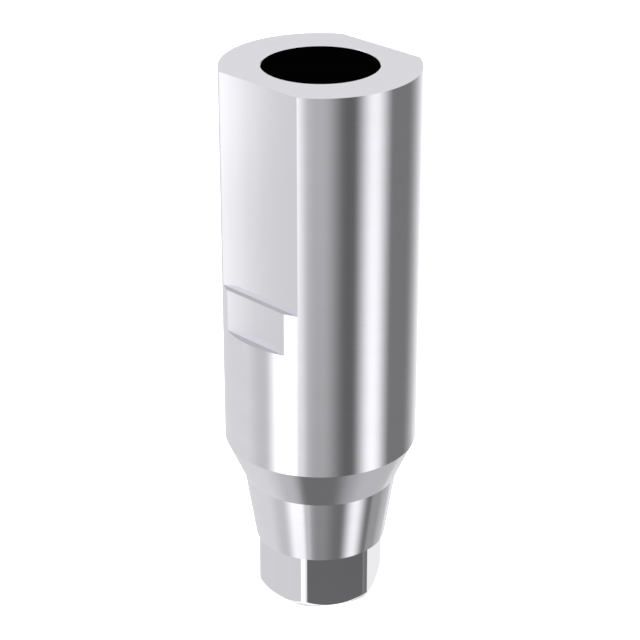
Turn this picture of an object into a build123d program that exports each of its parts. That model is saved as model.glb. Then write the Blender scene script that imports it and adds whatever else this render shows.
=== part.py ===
from build123d import *
import os

# Scan body: a one-piece titanium post that stands in a dental implant while the
# jaw is scanned. The axis of the post is Z, the origin is the centre of the
# hexagon's lower end, and the long scan flat faces -Y. All sizes are millimetres.

# Heights, stacked upwards from the lower end
hexagon_height = 1.39
taper_height = 1.64
shoulder_height = 1.0
barrel_height = 9.06

# Diameters of the turned outside
barrel_diameter = 4.5
taper_top_diameter = 3.6
taper_foot_diameter = 3.09

# Hexagon that keys into the implant
hexagon_sides = 6
hexagon_across_flats = 2.67
hexagon_across_corners = 3.0

# Flats milled on the barrel: distance from the axis, and length down from the top
scan_flat_offset = 1.905
scan_flat_length = 5.05
step_flat_offset = 2.055
step_flat_length = 6.05

# Screw channel
channel_diameter = 2.62
channel_depth = 10.3
screw_hole_diameter = 1.9

# Chamfer at the mouth of the channel. The outer edges are left crisp, so that a
# scanner finds them.
mouth_chamfer = 0.015

# Levels worked out from the stack of heights
taper_foot = hexagon_height
taper_top = taper_foot + taper_height
barrel_foot = taper_top + shoulder_height
top = barrel_foot + barrel_height

# Radii
barrel_radius = barrel_diameter / 2
taper_top_radius = taper_top_diameter / 2
taper_foot_radius = taper_foot_diameter / 2
hexagon_flat_radius = hexagon_across_flats / 2
hexagon_corner_radius = hexagon_across_corners / 2
channel_radius = channel_diameter / 2
screw_hole_radius = screw_hole_diameter / 2

# The lead-in of the hexagon and the seat of the screw are both cones at 45
# degrees, so each is as tall as it is wide.
lead_in = hexagon_corner_radius - hexagon_flat_radius
seat_top = top - channel_depth
seat_foot = seat_top - (channel_radius - screw_hole_radius)

with BuildPart() as scan_body:
    # Hexagon, one pair of its sides square to the scan flat
    with BuildSketch(Plane.XY):
        RegularPolygon(hexagon_flat_radius, hexagon_sides, major_radius=False)
    extrude(amount=hexagon_height)

    # Its corners are turned off to a circle. The cone at the lower end starts
    # at the inscribed circle, so it leaves an arch at the foot of each side.
    with BuildSketch(Plane.XZ):
        with BuildLine():
            Polyline(
                (0, 0),
                (hexagon_flat_radius, 0),
                (hexagon_corner_radius, lead_in),
                (hexagon_corner_radius, hexagon_height),
                (0, hexagon_height),
                close=True,
            )
        make_face()
    revolve(axis=Axis.Z, mode=Mode.INTERSECT)

    # Turned outside above the hexagon: implant taper, shoulder and barrel
    with BuildSketch(Plane.XZ):
        with BuildLine():
            Polyline(
                (0, taper_foot),
                (taper_foot_radius, taper_foot),
                (taper_top_radius, taper_top),
                (barrel_radius, barrel_foot),
                (barrel_radius, top),
                (0, top),
                close=True,
            )
        make_face()
    revolve(axis=Axis.Z)

    # Scan flat at the front and its match at the back
    with BuildSketch(Plane.XY.offset(top)):
        Circle(barrel_diameter)
        Rectangle(2 * barrel_diameter, 2 * scan_flat_offset, mode=Mode.SUBTRACT)
    extrude(amount=-scan_flat_length, mode=Mode.SUBTRACT)

    # Shallower flat that runs on below the front one, so that each ends in a
    # ledge and the scanner can tell the two sides apart
    with BuildSketch(Plane.XY.offset(top)):
        with Locations((0, -step_flat_offset)):
            Rectangle(
                barrel_diameter,
                barrel_radius,
                align=(Align.CENTER, Align.MAX),
            )
    extrude(amount=-step_flat_length, mode=Mode.SUBTRACT)

    # Screw channel: driver bore, conical seat for the screw's head, and the
    # hole for its shank
    with BuildSketch(Plane.XZ):
        with BuildLine():
            Polyline(
                (0, 0),
                (screw_hole_radius, 0),
                (screw_hole_radius, seat_foot),
                (channel_radius, seat_top),
                (channel_radius, top),
                (0, top),
                close=True,
            )
        make_face()
    revolve(axis=Axis.Z, mode=Mode.SUBTRACT)

    # Mouth of the channel
    top_face = scan_body.faces().sort_by(Axis.Z)[-1]
    chamfer(top_face.inner_wires()[0].edges(), length=mouth_chamfer)

scan_body.part.label = "scan_body"

os.makedirs("parts", exist_ok=True)
export_step(scan_body.part, "parts/scan_body.step")
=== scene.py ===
import math

import bmesh
import bpy
import numpy as np
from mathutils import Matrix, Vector


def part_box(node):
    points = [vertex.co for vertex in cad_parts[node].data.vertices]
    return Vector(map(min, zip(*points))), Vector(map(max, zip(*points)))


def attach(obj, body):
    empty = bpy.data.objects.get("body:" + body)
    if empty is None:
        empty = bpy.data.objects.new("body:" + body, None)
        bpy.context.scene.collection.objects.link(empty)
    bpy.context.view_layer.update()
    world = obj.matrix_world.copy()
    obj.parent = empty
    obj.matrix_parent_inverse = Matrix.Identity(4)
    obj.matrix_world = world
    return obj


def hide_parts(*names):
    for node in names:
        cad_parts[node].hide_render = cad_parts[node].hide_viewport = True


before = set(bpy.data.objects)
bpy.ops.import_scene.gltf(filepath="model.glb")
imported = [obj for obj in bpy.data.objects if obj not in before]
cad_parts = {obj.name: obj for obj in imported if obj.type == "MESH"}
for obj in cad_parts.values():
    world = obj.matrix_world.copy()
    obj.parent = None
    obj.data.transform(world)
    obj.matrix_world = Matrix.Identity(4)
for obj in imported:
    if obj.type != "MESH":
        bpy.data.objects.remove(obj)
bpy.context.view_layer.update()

FULL_TURN = 2 * math.pi
QUARTER_TURN = math.pi / 2
# Straight up and down, and the factors that leave the level part of a vector
UP = (0, 0, 1)
DOWN = (0, 0, -1)
LEVEL_PART = (1, 1, 0)

# Sizes of the post, in metres. Its full height and width come from the frame.
MM = 0.001
post_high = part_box("scan_body")[1]
TOP = post_high.z
BARREL_RADIUS = post_high.x
BARREL_HEIGHT = 9.06 * MM
SHOULDER_HEIGHT = 1.0 * MM
TAPER_HEIGHT = 1.64 * MM
TAPER_TOP_RADIUS = 1.8 * MM
TAPER_FOOT_RADIUS = 1.545 * MM
HEXAGON_FLAT = 1.335 * MM
HEXAGON_CORNER = 1.5 * MM
SCAN_FLAT = 1.905 * MM
SCAN_FLAT_LENGTH = 5.05 * MM
STEP_FLAT = 2.055 * MM
STEP_FLAT_LENGTH = 6.05 * MM
CHANNEL_RADIUS = 1.31 * MM
CHANNEL_DEPTH = 10.3 * MM
SCREW_HOLE_RADIUS = 0.95 * MM
MOUTH_CHAMFER = 0.015 * MM
# The cutter leaves each ledge rising a little outwards
LEDGE_RISE = math.radians(3)

BARREL_FOOT = TOP - BARREL_HEIGHT
TAPER_TOP = BARREL_FOOT - SHOULDER_HEIGHT
TAPER_FOOT = TAPER_TOP - TAPER_HEIGHT
SCAN_LEDGE = TOP - SCAN_FLAT_LENGTH
STEP_LEDGE = TOP - STEP_FLAT_LENGTH
SEAT_TOP = TOP - CHANNEL_DEPTH
SEAT_FOOT = SEAT_TOP - (CHANNEL_RADIUS - SCREW_HOLE_RADIUS)

# Bearings are angles round the axis from +X. The long scan flat faces the front, -Y.
# Each flat is given by its bearing and its distance from the axis.
FRONT = -QUARTER_TURN
BACK = QUARTER_TURN
FRONT_STEP = [(FRONT, STEP_FLAT)]
SCAN_FLATS = [(FRONT, SCAN_FLAT), (BACK, SCAN_FLAT)]
SIDES = 6
HEXAGON = [(FRONT + side * FULL_TURN / SIDES, HEXAGON_FLAT) for side in range(SIDES)]

# Fineness of the mesh: points in a ring before the extra ones, the digits that tell
# two bearings apart, the widest gap between rings, the reach of a weld, and the
# angle from which an edge is crisp
STEPS_ROUND = 288
BEARING_DIGITS = 9
RING_SPACING = 0.25 * MM
WELD = 1e-4 * MM
CRISP = math.radians(9)
# Least cosine at which a bearing still looks at a flat
GLANCE = 0.1

# The photograph's camera. Blender takes the lens and the sensor in millimetres.
CAMERA_BEARING = math.radians(45)
CAMERA_RISE = math.radians(25.46)
CAMERA_DISTANCE = 48.64 * MM
AIM_BELOW_TOP = 6.174 * MM
AIM_LEFT = 0.011 * MM
LENS = 118.68
SENSOR = 36
CLIP_START = 1 * MM
CLIP_END = 10

# Level directions to the camera's right and away from it
RIGHTWARD = (math.cos(CAMERA_BEARING), math.sin(CAMERA_BEARING), 0.0)
BACKWARD = (-math.sin(CAMERA_BEARING), math.cos(CAMERA_BEARING), 0.0)

# Finishes, in the order of the post's material slots. A ring marked as milled is
# so where a flat cuts into its circle, and turned elsewhere.
# The bored finish is painted shade: the channel's wall is drawn near-black.
TURNED, MILLED, BORED = 0, 1, 2


def bearings_round():
    """Bearings of the points of every ring: an even sweep of the full turn, and
    with it each flat's own bearing and the two where the flat meets the circle that
    it cuts, which are its bearing plus and minus the angle whose cosine is the
    flat's distance over the circle's radius."""
    sweep = np.linspace(0, FULL_TURN, STEPS_ROUND, endpoint=False)
    extra = []
    for flats, radius in (
        (SCAN_FLATS, BARREL_RADIUS),
        (FRONT_STEP, BARREL_RADIUS),
        (HEXAGON, HEXAGON_CORNER),
    ):
        for bearing, distance in flats:
            half = math.acos(distance / radius)
            extra += [bearing - half, bearing, bearing + half]
    together = np.concatenate([sweep, np.mod(extra, FULL_TURN)])
    return np.unique(np.round(together, BEARING_DIGITS))


def outline(bearing, radius, flats=()):
    """Radius at each bearing of a circle cut by flats: the least of the circle's
    radius and, for each flat, its distance over the cosine of the angle between
    the bearing and the flat's own bearing."""
    result = np.full_like(bearing, radius)
    for facing, distance in flats:
        cosine = np.cos(bearing - facing)
        cut = np.where(cosine > GLANCE, distance / np.maximum(cosine, GLANCE), radius)
        result = np.minimum(result, cut)
    return result


def ledge_rim(bearing, level, outer, inner):
    """Height of a ledge's outer rim: the level of its inner edge, plus the tangent
    of the rise times the distance between the two, square to the flat."""
    reach = (outer - inner) * np.abs(np.sin(bearing))
    return level + math.tan(LEDGE_RISE) * reach


def post_rings(bearing):
    """The post's skin as closed rings, each a radius and a height at every
    bearing and a finish, going up the outside, in over the top face, down the
    channel and back out under the hexagon. The hexagon's lead-in is a cone at 45
    degrees from the inscribed circle, so its upper edge is as high as the outline
    stands out from that circle."""
    hexagon = outline(bearing, HEXAGON_CORNER, HEXAGON)
    barrel = outline(bearing, BARREL_RADIUS)
    stepped = outline(bearing, BARREL_RADIUS, FRONT_STEP)
    flatted = outline(bearing, BARREL_RADIUS, SCAN_FLATS)
    rings = [
        (outline(bearing, HEXAGON_FLAT), 0.0, TURNED),
        (hexagon, hexagon - HEXAGON_FLAT, MILLED),
        (hexagon, TAPER_FOOT, TURNED),
        (outline(bearing, TAPER_FOOT_RADIUS), TAPER_FOOT, TURNED),
        (outline(bearing, TAPER_TOP_RADIUS), TAPER_TOP, TURNED),
        (barrel, BARREL_FOOT, TURNED),
        (barrel, ledge_rim(bearing, STEP_LEDGE, barrel, stepped), MILLED),
        (stepped, STEP_LEDGE, MILLED),
        (stepped, ledge_rim(bearing, SCAN_LEDGE, stepped, flatted), MILLED),
        (flatted, SCAN_LEDGE, MILLED),
        (flatted, TOP, TURNED),
        (outline(bearing, CHANNEL_RADIUS + MOUTH_CHAMFER), TOP, TURNED),
        (outline(bearing, CHANNEL_RADIUS), TOP - MOUTH_CHAMFER, BORED),
        (outline(bearing, CHANNEL_RADIUS), SEAT_TOP, BORED),
        (outline(bearing, SCREW_HOLE_RADIUS), SEAT_FOOT, BORED),
        (outline(bearing, SCREW_HOLE_RADIUS), 0.0, TURNED),
    ]
    level = np.zeros_like(bearing)
    return [(radius, height + level, finish) for radius, height, finish in rings]


def between(rings):
    """The same rings with even ones added wherever two neighbours stand further
    apart than the ring spacing. An added ring is the weighted mean of the two, and
    has the finish of the one before it."""
    filled = []
    for (radius, height, finish), following in zip(rings, rings[1:] + rings[:1]):
        wider = following[0] - radius
        higher = following[1] - height
        steps = max(1, math.ceil(np.max(np.hypot(wider, higher)) / RING_SPACING))
        for step in range(steps):
            part = step / steps
            filled.append((radius + wider * part, height + higher * part, finish))
    return filled


def post_mesh():
    """The skin as one closed mesh. Point (i, j) of the grid is ring i at bearing
    j: x and y are the radius times the bearing's cosine and sine, and z is the
    height. Each face joins four neighbours, both ways round, and has the finish of
    its first ring, but a milled one is turned where no flat cuts into the circle.
    Points that fall together, as where a ledge runs out, are welded."""
    bearing = bearings_round()
    rings = between(post_rings(bearing))
    radius = np.array([ring[0] for ring in rings])
    height = np.array([ring[1] for ring in rings])
    points = np.stack([radius * np.cos(bearing), radius * np.sin(bearing), height], axis=-1)
    index = np.arange(radius.size).reshape(radius.shape)
    next_ring = np.roll(index, -1, axis=0)
    corners = [index, np.roll(index, -1, axis=1), np.roll(next_ring, -1, axis=1), next_ring]
    faces = np.stack(corners, axis=-1).reshape(-1, 4)
    mesh = bpy.data.meshes.new("scan_post")
    mesh.from_pydata(points.reshape(-1, 3), [], faces)
    inside_circle = (radius < radius.max(axis=1, keepdims=True) - WELD).ravel()
    cut = inside_circle[faces].any(axis=1)
    finish = np.repeat([ring[2] for ring in rings], len(bearing))
    finish = np.where((finish == MILLED) & ~cut, TURNED, finish)
    mesh.polygons.foreach_set("material_index", finish.astype(np.int32))
    welded = bmesh.new()
    welded.from_mesh(mesh)
    bmesh.ops.remove_doubles(welded, verts=welded.verts, dist=WELD)
    welded.to_mesh(mesh)
    welded.free()
    mesh.shade_smooth()
    mesh.set_sharp_from_angle(angle=CRISP)
    mesh.update()
    return mesh


def link(tree, output, socket):
    """Joins a node's output to a socket."""
    tree.links.new(output, socket)


def operation(tree, kind, first, second=None):
    """One Math node, its inputs either sockets or plain numbers."""
    node = tree.nodes.new("ShaderNodeMath")
    node.operation = kind
    for socket, value in zip(node.inputs, (first, second)):
        if isinstance(value, bpy.types.NodeSocket):
            link(tree, value, socket)
        elif value is not None:
            socket.default_value = value
    return node.outputs[0]


def vector_operation(tree, kind, first, second=None):
    """One Vector Math node from a vector socket and a plain vector."""
    node = tree.nodes.new("ShaderNodeVectorMath")
    node.operation = kind
    link(tree, first, node.inputs[0])
    if second is not None:
        node.inputs[1].default_value = second
    gives_number = kind in ("DOT_PRODUCT", "LENGTH")
    return node.outputs["Value" if gives_number else "Vector"]


def soft_step(tree, value, start, full):
    """A smooth rise from 0 at the start to 1 where it is full. The start may be
    the higher of the two, and then it rises the other way."""
    node = tree.nodes.new("ShaderNodeMapRange")
    node.interpolation_type = "SMOOTHSTEP"
    link(tree, value, node.inputs["Value"])
    node.inputs["From Min"].default_value = start
    node.inputs["From Max"].default_value = full
    return node.outputs["Result"]


# A noise value stays mostly between these two
NOISE_LOW = 0.3
NOISE_HIGH = 0.7


def spread(tree, value, low, high):
    """A noise value spread out so that it runs from low to high."""
    node = tree.nodes.new("ShaderNodeMapRange")
    link(tree, value, node.inputs["Value"])
    node.inputs["From Min"].default_value = NOISE_LOW
    node.inputs["From Max"].default_value = NOISE_HIGH
    node.inputs["To Min"].default_value = low
    node.inputs["To Max"].default_value = high
    return node.outputs["Result"]


# The tool's marks: the width of each kind, how many times as wide the coarse ones
# are, their height and detail, and how many times as long as wide milled ones are
TURNING_MARK = 0.06 * MM
MILLING_MARK = 0.05 * MM
BORING_MARK = 0.08 * MM
COARSE_MARKS = 9
MARK_HEIGHT = 2e-4 * MM
MARK_DETAIL = 3
MILLING_LENGTH = 40


def rings_of_turning(tree, place, width):
    """Noise that changes only along the turned profile: it is read at the height
    plus the distance from the axis, so it draws rings on every turned face."""
    level = vector_operation(tree, "MULTIPLY", place, LEVEL_PART)
    height = vector_operation(tree, "DOT_PRODUCT", place, UP)
    travel = operation(tree, "ADD", height, vector_operation(tree, "LENGTH", level))
    noise = tree.nodes.new("ShaderNodeTexNoise")
    noise.noise_dimensions = "1D"
    link(tree, travel, noise.inputs["W"])
    noise.inputs["Scale"].default_value = 1 / width
    noise.inputs["Detail"].default_value = MARK_DETAIL
    return noise.outputs["Fac"]


def lines_of_milling(tree, place, width):
    """Noise drawn out many times along the axis, so that it leaves straight
    upright lines on every milled flat."""
    drawn = vector_operation(tree, "MULTIPLY", place, (1, 1, 1 / MILLING_LENGTH))
    noise = tree.nodes.new("ShaderNodeTexNoise")
    link(tree, drawn, noise.inputs["Vector"])
    noise.inputs["Scale"].default_value = 1 / width
    noise.inputs["Detail"].default_value = MARK_DETAIL
    return noise.outputs["Fac"]


# The two tints that each surface moves between, and its least and most roughness
METAL_TINTS = (0.862, 0.855, 0.905, 1), (0.85, 0.84, 0.88, 1)
METAL_ROUGHNESS = 0.085, 0.115
# The channel's near-black tints and low sheen are painted shade for the darkness deep in the
# channel
BORE_SHADE_TINTS = (0.0003, 0.0003, 0.0003, 1), (0.0008, 0.0008, 0.0008, 1)
BORE_ROUGHNESS = 0.5, 0.7
BORE_SHEEN = 0.005


def machined(name, marks, width, tints, roughness):
    """Metal with the tool's marks. They move its roughness and its tint a little
    and stand a fraction of a micrometre high."""
    material = bpy.data.materials.new(name)
    material.use_nodes = True
    tree = material.node_tree
    shader = tree.nodes["Principled BSDF"]
    shader.inputs["Metallic"].default_value = 1.0
    place = tree.nodes.new("ShaderNodeTexCoord").outputs["Object"]
    fine = marks(tree, place, width)
    coarse = marks(tree, place, width * COARSE_MARKS)
    tint = tree.nodes.new("ShaderNodeMix")
    tint.data_type = "RGBA"
    tint.inputs["A"].default_value, tint.inputs["B"].default_value = tints
    link(tree, spread(tree, coarse, 0.0, 1.0), tint.inputs["Factor"])
    link(tree, tint.outputs["Result"], shader.inputs["Base Color"])
    link(tree, spread(tree, fine, *roughness), shader.inputs["Roughness"])
    bump = tree.nodes.new("ShaderNodeBump")
    bump.inputs["Strength"].default_value = 1.0
    bump.inputs["Distance"].default_value = MARK_HEIGHT
    link(tree, fine, bump.inputs["Height"])
    link(tree, bump.outputs["Normal"], shader.inputs["Normal"])
    return material


def painted_shade_bore():
    """The channel's wall, ringed by the drill. Its colour is painted shade: near-black and
    dull, with almost no sheen, standing for the darkness deep in the channel."""
    marks = rings_of_turning
    material = machined("channel_painted_shade", marks, BORING_MARK, BORE_SHADE_TINTS, BORE_ROUGHNESS)
    shader = material.node_tree.nodes["Principled BSDF"]
    shader.inputs["Metallic"].default_value = 0.0
    shader.inputs["Specular IOR Level"].default_value = BORE_SHEEN
    return material


# Degrees from straight down to level
DOWN_TO_LEVEL = 90


class Tent:
    """The world as a tent of soft cards, laid one over the other from the
    outermost in. Bearings are level angles from the camera's right, through what
    is behind the post. Every angle here is in degrees."""

    def __init__(self, tree, grey):
        self.tree = tree
        self.direction = tree.nodes.new("ShaderNodeTexCoord").outputs["Generated"]
        level = vector_operation(tree, "MULTIPLY", self.direction, LEVEL_PART)
        self.heading = vector_operation(tree, "NORMALIZE", level)
        climb = self.angle_from(self.direction, DOWN)
        self.rise = operation(tree, "SUBTRACT", climb, DOWN_TO_LEVEL)
        self.shown = grey

    def angle_from(self, direction, facing):
        """Angle between a direction socket and a plain direction."""
        cosine = vector_operation(self.tree, "DOT_PRODUCT", direction, facing)
        return operation(self.tree, "DEGREES", operation(self.tree, "ARCCOSINE", cosine))

    def lay(self, cover, brightness):
        """Mixes the brightness over what is shown so far, as far as the cover says."""
        node = self.tree.nodes.new("ShaderNodeMix")
        link(self.tree, cover, node.inputs["Factor"])
        if isinstance(self.shown, bpy.types.NodeSocket):
            link(self.tree, self.shown, node.inputs["A"])
        else:
            node.inputs["A"].default_value = self.shown
        node.inputs["B"].default_value = brightness
        self.shown = node.outputs["Result"]

    def band(self, lower, upper, brightness):
        """A card all the way round. Lower and upper are pairs of rises: where the
        card starts and where it is full."""
        edges = soft_step(self.tree, self.rise, *lower), soft_step(self.tree, self.rise, *upper)
        self.lay(operation(self.tree, "MULTIPLY", *edges), brightness)

    def strip(self, bearing, full, gone, lower, upper, brightness):
        """A card that is full out to one angle from its bearing and gone at the
        other, and runs up from the lower edge to the upper one."""
        away = self.angle_from(self.heading, tent_facing(bearing, 0))
        sides = soft_step(self.tree, away, gone, full)
        edges = soft_step(self.tree, self.rise, *lower), soft_step(self.tree, self.rise, *upper)
        ends = operation(self.tree, "MULTIPLY", *edges)
        self.lay(operation(self.tree, "MULTIPLY", sides, ends), brightness)

    def disc(self, bearing, rise, full, gone, brightness):
        """A round card about a bearing and a rise."""
        away = self.angle_from(self.direction, tent_facing(bearing, rise))
        self.lay(soft_step(self.tree, away, gone, full), brightness)


def tent_facing(bearing, rise):
    """The direction at a bearing from the camera's right and a rise."""
    turn = math.radians(bearing) + CAMERA_BEARING
    lift = math.radians(rise)
    return math.cos(turn) * math.cos(lift), math.sin(turn) * math.cos(lift), math.sin(lift)


# Edges, in degrees of rise, of a card that runs all the way down or up
NADIR = (-100, -91)
ZENITH = (100, 91)


def light_tent():
    """A white tent, open and dark at the front right where the camera looks in,
    with a bright card upright at the front left and another at the right."""
    world = bpy.data.worlds.new("light_tent")
    bpy.context.scene.world = world
    world.use_nodes = True
    tent = Tent(world.node_tree, grey=0.20)
    # Dark opening round the camera
    tent.strip(288, full=35, gone=65, lower=NADIR, upper=ZENITH, brightness=0.13)
    # Table, with a lighter patch behind on the right
    tent.band(lower=NADIR, upper=(-27, -42), brightness=0.17)
    tent.disc(50, rise=-60, full=17.5, gone=35, brightness=0.53)
    # Bright wall behind, which fades out to the right
    tent.strip(85, full=4, gone=60, lower=(-52, -24), upper=(12, -2), brightness=1.05)
    # White wall behind and on the left, which falls off towards the camera
    tent.strip(112, full=18, gone=32, lower=(-85, -55), upper=ZENITH, brightness=0.70)
    tent.strip(150, full=35, gone=61, lower=(-85, -55), upper=ZENITH, brightness=0.75)
    tent.strip(197, full=0, gone=27, lower=(-92, -58), upper=ZENITH, brightness=0.61)
    tent.strip(246, full=25, gone=55, lower=(-72, -8), upper=ZENITH, brightness=0.53)
    tent.strip(242, full=4, gone=24, lower=(-72, -12), upper=ZENITH, brightness=0.66)
    # Small cards low on the right and behind
    tent.disc(18, rise=-42, full=5, gone=12, brightness=0.34)
    tent.disc(68, rise=-42, full=4, gone=12, brightness=0.76)
    tent.disc(61, rise=-32.5, full=2, gone=6, brightness=0.94)
    tent.disc(88, rise=-56, full=11, gone=18, brightness=1.2)
    # Bright card at the front left, with a grey one that covers its near edge low down
    tent.strip(228, full=5, gone=29, lower=(-62, -39), upper=(-4, -18), brightness=1.5)
    tent.strip(245, full=0, gone=6, lower=(-66, -56), upper=(-20, -40), brightness=0.58)
    # Bright card at the right of the camera
    tent.strip(333.4, full=1, gone=27.3, lower=(-78, -38), upper=(24, -30), brightness=1.15)
    # Ceiling, greyer low down on the left, with a narrow light above the grey
    tent.band(lower=(4, 20), upper=ZENITH, brightness=0.80)
    tent.strip(180, full=35, gone=65, lower=(4, 20), upper=(28, 23), brightness=0.61)
    tent.strip(180, full=20, gone=40, lower=(23, 28), upper=(60, 45), brightness=0.77)
    tent.strip(164, full=10.6, gone=12.1, lower=(23, 28), upper=(60, 45), brightness=1.1)
    background = world.node_tree.nodes["Background"]
    link(world.node_tree, tent.shown, background.inputs["Color"])


def only_seen_by(item, **seen):
    """Turns off every kind of ray that meets the item but the ones named."""
    for ray in ("camera", "diffuse", "glossy", "transmission", "volume_scatter", "shadow"):
        setattr(item, "visible_" + ray, seen.get(ray, False))


# White card close to the post on the camera's left, which the flats mirror: how far
# to the left it stands, then distances behind the axis, as the camera sees it, and
# heights. Its near edge leans towards the camera as it goes up.
CARD_LEFT = 16.4 * MM
CARD_STARTS = -1.44 * MM
CARD_FULL = 1.93 * MM
CARD_LEAN = 0.32 * MM
LEAN_STARTS = 3.5 * MM
LEAN_FULL = 7.5 * MM
CARD_FAR = 1.4 * MM
CARD_FAR_FULL = 0.4 * MM
CARD_FOOT = -0.15 * MM
CARD_FOOT_FULL = 0.1 * MM
CARD_HEAD = 10.5 * MM
CARD_HEAD_FULL = 8.3 * MM
CARD_WHITE = 1.5


def side_card():
    """An upright white card whose edges fade out. Each corner is its distance to
    the left, plus one back from the camera, plus a height."""
    left = -CARD_LEFT * np.array(RIGHTWARD)
    backs = np.array([CARD_STARTS - CARD_LEAN, CARD_FAR])
    heights = np.array([CARD_FOOT, CARD_HEAD])
    back, height = np.meshgrid(backs, heights)
    points = left + back[..., None] * np.array(BACKWARD) + height[..., None] * np.array(UP)
    mesh = bpy.data.meshes.new("side_card")
    mesh.from_pydata(points.reshape(-1, 3), [], [[0, 1, 3, 2]])
    card = bpy.data.objects.new("side_card", mesh)
    bpy.context.scene.collection.objects.link(card)
    material = bpy.data.materials.new("faded_white")
    material.use_nodes = True
    tree = material.node_tree
    tree.nodes.remove(tree.nodes["Principled BSDF"])
    place = tree.nodes.new("ShaderNodeTexCoord").outputs["Object"]
    backward = vector_operation(tree, "DOT_PRODUCT", place, BACKWARD)
    upward = vector_operation(tree, "DOT_PRODUCT", place, UP)
    lean = operation(
        tree, "MULTIPLY", soft_step(tree, upward, LEAN_STARTS, LEAN_FULL), CARD_LEAN
    )
    reach = operation(tree, "ADD", backward, lean)
    glow = tree.nodes.new("ShaderNodeEmission")
    glow.inputs["Strength"].default_value = CARD_WHITE
    fade = tree.nodes.new("ShaderNodeMixShader")
    cover = soft_step(tree, reach, CARD_STARTS, CARD_FULL)
    for edge in (
        soft_step(tree, backward, CARD_FAR, CARD_FAR_FULL),
        soft_step(tree, upward, CARD_FOOT, CARD_FOOT_FULL),
        soft_step(tree, upward, CARD_HEAD, CARD_HEAD_FULL),
    ):
        cover = operation(tree, "MULTIPLY", cover, edge)
    link(tree, cover, fade.inputs["Fac"])
    link(tree, tree.nodes.new("ShaderNodeBsdfTransparent").outputs[0], fade.inputs[1])
    link(tree, glow.outputs[0], fade.inputs[2])
    link(tree, fade.outputs[0], tree.nodes["Material Output"].inputs["Surface"])
    mesh.materials.append(material)
    only_seen_by(card, glossy=True)


STUDIO_RADIUS = 550 * MM
STUDIO_STEPS = 96
DOME_RINGS = 24
BLACK = (0, 0, 0, 1)
WHITE = (1, 1, 1, 1)
FLOOR_WHITE = (0.9, 0.9, 0.9, 1)


def pale_floor():
    """A wide pale disc, seen by the camera but not mirrored in the metal. The points
    of its rim are the radius times each bearing's cosine and sine."""
    around = np.linspace(0, FULL_TURN, STUDIO_STEPS, endpoint=False)
    level = np.zeros_like(around)
    rim = STUDIO_RADIUS * np.stack([np.cos(around), np.sin(around), level], axis=-1)
    mesh = bpy.data.meshes.new("floor")
    mesh.from_pydata(rim, [], [list(range(len(around)))])
    floor = bpy.data.objects.new("floor", mesh)
    bpy.context.scene.collection.objects.link(floor)
    material = bpy.data.materials.new("pale_floor")
    material.use_nodes = True
    shader = material.node_tree.nodes["Principled BSDF"]
    shader.inputs["Base Color"].default_value = FLOOR_WHITE
    shader.inputs["Roughness"].default_value = 1.0
    shader.inputs["Specular IOR Level"].default_value = 0.0
    mesh.materials.append(material)
    floor.visible_glossy = False


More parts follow.
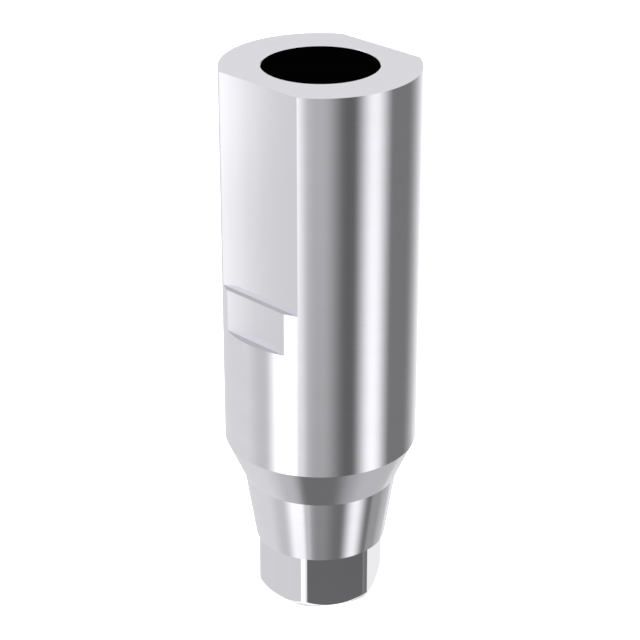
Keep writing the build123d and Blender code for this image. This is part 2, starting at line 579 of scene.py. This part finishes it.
def white_backdrop():
    """A white dome over the floor, seen by the camera alone. Its points are the
    radius times the cosine and sine of the bearing and of the rise."""
    bearing = np.linspace(0, FULL_TURN, STUDIO_STEPS, endpoint=False)
    rise = np.linspace(0, QUARTER_TURN, DOME_RINGS, endpoint=False)
    turn, lift = np.meshgrid(bearing, rise)
    points = STUDIO_RADIUS * np.stack(
        [np.cos(turn) * np.cos(lift), np.sin(turn) * np.cos(lift), np.sin(lift)], axis=-1
    )
    index = np.arange(turn.size).reshape(turn.shape)
    beside = np.roll(index, -1, axis=1)
    walls = np.stack([index[:-1], index[1:], beside[1:], beside[:-1]], axis=-1).reshape(-1, 4)
    mesh = bpy.data.meshes.new("backdrop")
    mesh.from_pydata(points.reshape(-1, 3), [], [*walls.tolist(), index[-1].tolist()])
    backdrop = bpy.data.objects.new("backdrop", mesh)
    bpy.context.scene.collection.objects.link(backdrop)
    material = bpy.data.materials.new("white_backdrop")
    material.use_nodes = True
    shader = material.node_tree.nodes["Principled BSDF"]
    shader.inputs["Base Color"].default_value = BLACK
    shader.inputs["Emission Color"].default_value = WHITE
    shader.inputs["Emission Strength"].default_value = 1.0
    mesh.materials.append(material)
    only_seen_by(backdrop, camera=True)


OVERHEAD_POWER = 7.5
OVERHEAD_WIDTH = math.radians(130)


def overhead_light():
    """A broad soft light straight above, which whitens the floor and isn't mirrored
    in the metal."""
    light = bpy.data.lights.new("overhead", "SUN")
    light.energy = OVERHEAD_POWER
    light.angle = OVERHEAD_WIDTH
    lamp = bpy.data.objects.new("overhead", light)
    lamp.visible_glossy = False
    bpy.context.scene.collection.objects.link(lamp)


def photo_camera():
    """A camera a set distance out from the aim point, at the photo's bearing and
    rise, turned to look back at that point."""
    aim = Vector((0, 0, TOP - AIM_BELOW_TOP)) - AIM_LEFT * Vector(RIGHTWARD)
    outward = Vector(
        (
            math.sin(CAMERA_BEARING) * math.cos(CAMERA_RISE),
            -math.cos(CAMERA_BEARING) * math.cos(CAMERA_RISE),
            math.sin(CAMERA_RISE),
        )
    )
    lens = bpy.data.cameras.new("camera")
    lens.lens = LENS
    lens.sensor_width = SENSOR
    lens.clip_start = CLIP_START
    lens.clip_end = CLIP_END
    camera = bpy.data.objects.new("camera", lens)
    camera.location = aim + outward * CAMERA_DISTANCE
    camera.rotation_mode = "QUATERNION"
    camera.rotation_quaternion = (-outward).to_track_quat("-Z", "Y")
    bpy.context.scene.collection.objects.link(camera)
    bpy.context.scene.camera = camera


def scan_post():
    """The post's finished skin, which stands for the plain solid."""
    mesh = post_mesh()
    metal = METAL_TINTS, METAL_ROUGHNESS
    mesh.materials.append(machined("turned_titanium", rings_of_turning, TURNING_MARK, *metal))
    mesh.materials.append(machined("milled_titanium", lines_of_milling, MILLING_MARK, *metal))
    # The channel's slot is painted shade, drawn near-black
    mesh.materials.append(painted_shade_bore())
    post = bpy.data.objects.new("scan_post", mesh)
    bpy.context.scene.collection.objects.link(post)
    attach(post, "root")
    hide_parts("scan_body")


scan_post()
light_tent()
side_card()
pale_floor()
white_backdrop()
overhead_light()
photo_camera()
bpy.context.scene.view_settings.view_transform = "Standard"
